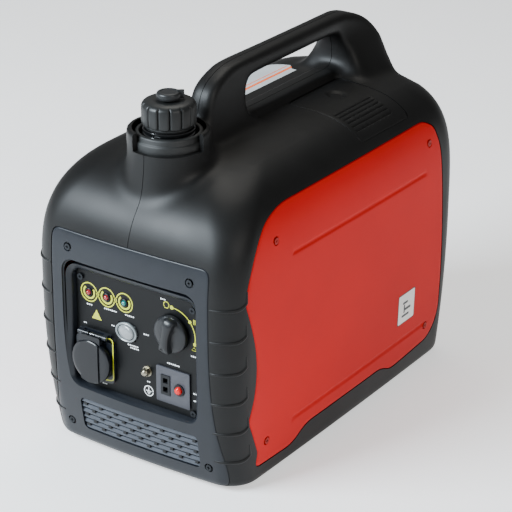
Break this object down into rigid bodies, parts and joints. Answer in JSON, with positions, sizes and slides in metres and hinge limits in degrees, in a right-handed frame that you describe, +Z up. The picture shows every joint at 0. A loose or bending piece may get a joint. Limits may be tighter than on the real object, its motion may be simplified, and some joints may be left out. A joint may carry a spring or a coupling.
{
  "type": "portable inverter generator",
  "caption": "Suitcase-style portable inverter generator with carrying handle, fuel filler, front control panel, recoil starter, engine, alternator and inverter.",
  "frame": {"origin": "on the floor under the centre of the overall box, in the plane of the feet's undersides", "axes": "+Z up, the control panel faces -Y, +X is the right-hand side as seen from the front"},
  "size_m": [0.285, 0.4988, 0.44],
  "materials": {
    "case_left": "fine texture",
    "case_right": "fine texture",
    "front_fascia": "satin",
    "rear_cover": "satin",
    "side_panel_left": "gloss",
    "side_panel_right": "gloss",
    "base_tray": "matt",
    "rubber_feet": "matt",
    "spark_plug_cover": "fine texture",
    "fascia_screws": "satin",
    "control_plate_screws": "satin",
    "side_panel_screws": "satin",
    "rear_cover_screws": "satin",
    "control_plate": "satin",
    "led_lamps": "clear gloss",
    "rocker_frame": "gloss",
    "rocker": "gloss",
    "ac_socket_body": "satin",
    "ac_cover": "satin gloss",
    "ac_hinge_pin": "polished",
    "ac_cover_spring": "polished",
    "dc_plate": "satin",
    "dc_socket": "satin",
    "breaker_body": "satin",
    "breaker_button": "gloss",
    "ground_terminal": "plated",
    "engine_knob": "satin",
    "knob_shaft": "turned",
    "fuel_valve": "cast",
    "fuel_tank": "moulded",
    "filler_neck": "gloss",
    "neck_collar": "matt",
    "cap_insert": "matt",
    "cap_seal": "matt",
    "fuel_cap": "satin",
    "vent_knob": "satin",
    "recoil_housing": "pressed",
    "recoil_reel": "moulded",
    "rope_winding": "braided",
    "recoil_spring": "oiled",
    "starter_cup": "pressed",
    "starter_rope": "braided",
    "starter_grip": "matt",
    "cooling_fan": "moulded",
    "flywheel_rotor": "turned",
    "stator": "copper windings",
    "fan_shroud": "moulded",
    "crankcase": "cast",
    "crankshaft": "ground",
    "cylinder_barrel": "cast",
    "cylinder_head": "cast",
    "valve_cover": "satin",
    "spark_plug": "glazed and plated",
    "plug_cap": "matt",
    "carburettor": "cast",
    "throttle_valve": "turned",
    "air_filter_box": "moulded",
    "muffler": "heat dulled",
    "inverter_module": "extruded",
    "engine_mounts": "matt"
  },
  "bodies": {
    "housing": {"case_left": "case_left", "case_right": "case_right", "front_fascia": "front_fascia", "rear_cover": "rear_cover", "side_panel_left": "side_panel_left", "side_panel_right": "side_panel_right", "base_tray": "base_tray", "rubber_feet": "rubber_feet", "fascia_screws": "fascia_screws", "control_plate_screws": "control_plate_screws", "side_panel_screws": "side_panel_screws", "rear_cover_screws": "rear_cover_screws", "control_plate": "control_plate", "led_lamps": "led_lamps", "rocker_frame": "rocker_frame", "ac_socket_body": "ac_socket_body", "ac_hinge_pin": "ac_hinge_pin", "ac_cover_spring": "ac_cover_spring", "dc_plate": "dc_plate", "dc_socket": "dc_socket", "breaker_body": "breaker_body", "ground_terminal": "ground_terminal", "fuel_valve": "fuel_valve", "fuel_tank": "fuel_tank", "filler_neck": "filler_neck", "neck_collar": "neck_collar", "recoil_housing": "recoil_housing", "recoil_spring": "recoil_spring", "stator": "stator", "fan_shroud": "fan_shroud", "crankcase": "crankcase", "cylinder_barrel": "cylinder_barrel", "cylinder_head": "cylinder_head", "valve_cover": "valve_cover", "spark_plug": "spark_plug", "plug_cap": "plug_cap", "carburettor": "carburettor", "air_filter_box": "air_filter_box", "muffler": "muffler", "inverter_module": "inverter_module", "engine_mounts": "engine_mounts"},
    "plug_cover": {"spark_plug_cover": "spark_plug_cover"},
    "filler_plug": {"cap_insert": "cap_insert", "cap_seal": "cap_seal"},
    "cap": {"fuel_cap": "fuel_cap"},
    "vent": {"vent_knob": "vent_knob"},
    "knob": {"engine_knob": "engine_knob", "knob_shaft": "knob_shaft"},
    "switch_key": {"rocker": "rocker"},
    "socket_cover": {"ac_cover": "ac_cover"},
    "button": {"breaker_button": "breaker_button"},
    "grip": {"starter_grip": "starter_grip", "starter_rope": "starter_rope"},
    "reel": {"recoil_reel": "recoil_reel", "rope_winding": "rope_winding"},
    "rotor": {"crankshaft": "crankshaft", "flywheel_rotor": "flywheel_rotor", "cooling_fan": "cooling_fan", "starter_cup": "starter_cup"},
    "throttle": {"throttle_valve": "throttle_valve"}
  },
  "joints": [
    {"name": "plug_cover_lift", "type": "slide", "parent": "housing", "child": "plug_cover", "axis": [0, 0, 1], "range_m": [0, 0.04]},
    {"name": "filler_plug_lift", "type": "slide", "parent": "housing", "child": "filler_plug", "axis": [0, 0, 1], "range_m": [0, 0.08]},
    {"name": "fuel_cap_turn", "type": "hinge", "parent": "filler_plug", "child": "cap", "pos_m": [0, -0.166, 0.41], "axis": [0, 0, 1], "range_deg": [0, 120]},
    {"name": "vent_knob_turn", "type": "hinge", "parent": "cap", "child": "vent", "pos_m": [0, -0.166, 0.432], "axis": [0, 0, 1], "range_deg": [0, 90]},
    {"name": "engine_knob_turn", "type": "hinge", "parent": "housing", "child": "knob", "pos_m": [0.05, -0.231, 0.185], "axis": [0, 1, 0], "range_deg": [0, 105]},
    {"name": "rocker_tilt", "type": "hinge", "parent": "housing", "child": "switch_key", "pos_m": [-0.014, -0.232, 0.168], "axis": [0, 0, 1], "range_deg": [0, 16]},
    {"name": "ac_cover_hinge", "type": "hinge", "parent": "housing", "child": "socket_cover", "pos_m": [-0.058, -0.238, 0.1545], "axis": [-1, 0, 0], "range_deg": [0, 100], "stiffness_Nm_per_rad": 0.01, "springref_deg": -34.38},
    {"name": "breaker_push", "type": "slide", "parent": "housing", "child": "button", "axis": [0, 1, 0], "range_m": [0, 0.002], "stiffness_N_per_m": 400, "springref_m": -0.001},
    {"name": "starter_pull", "type": "slide", "parent": "housing", "child": "grip", "axis": [-1, 0, 0], "range_m": [0, 0.5], "stiffness_N_per_m": 20, "springref_m": -0.3},
    {"name": "recoil_reel_turn", "type": "hinge", "parent": "housing", "child": "reel", "pos_m": [0.008, -0.118, 0.118], "axis": [0, -1, 0], "range_deg": [0, 655]},
    {"name": "crank_turn", "type": "hinge", "parent": "housing", "child": "rotor", "pos_m": [0.008, 0, 0.118], "axis": [0, 1, 0], "continuous": true},
    {"name": "throttle_turn", "type": "hinge", "parent": "housing", "child": "throttle", "pos_m": [0.02213, 0.05, 0.26688], "axis": [0, 1, 0], "range_deg": [0, 75]}
  ],
  "couplings": [
    {"joint": "recoil_reel_turn", "follows": "starter_pull", "rad_per_m": 22.727}
  ]
}
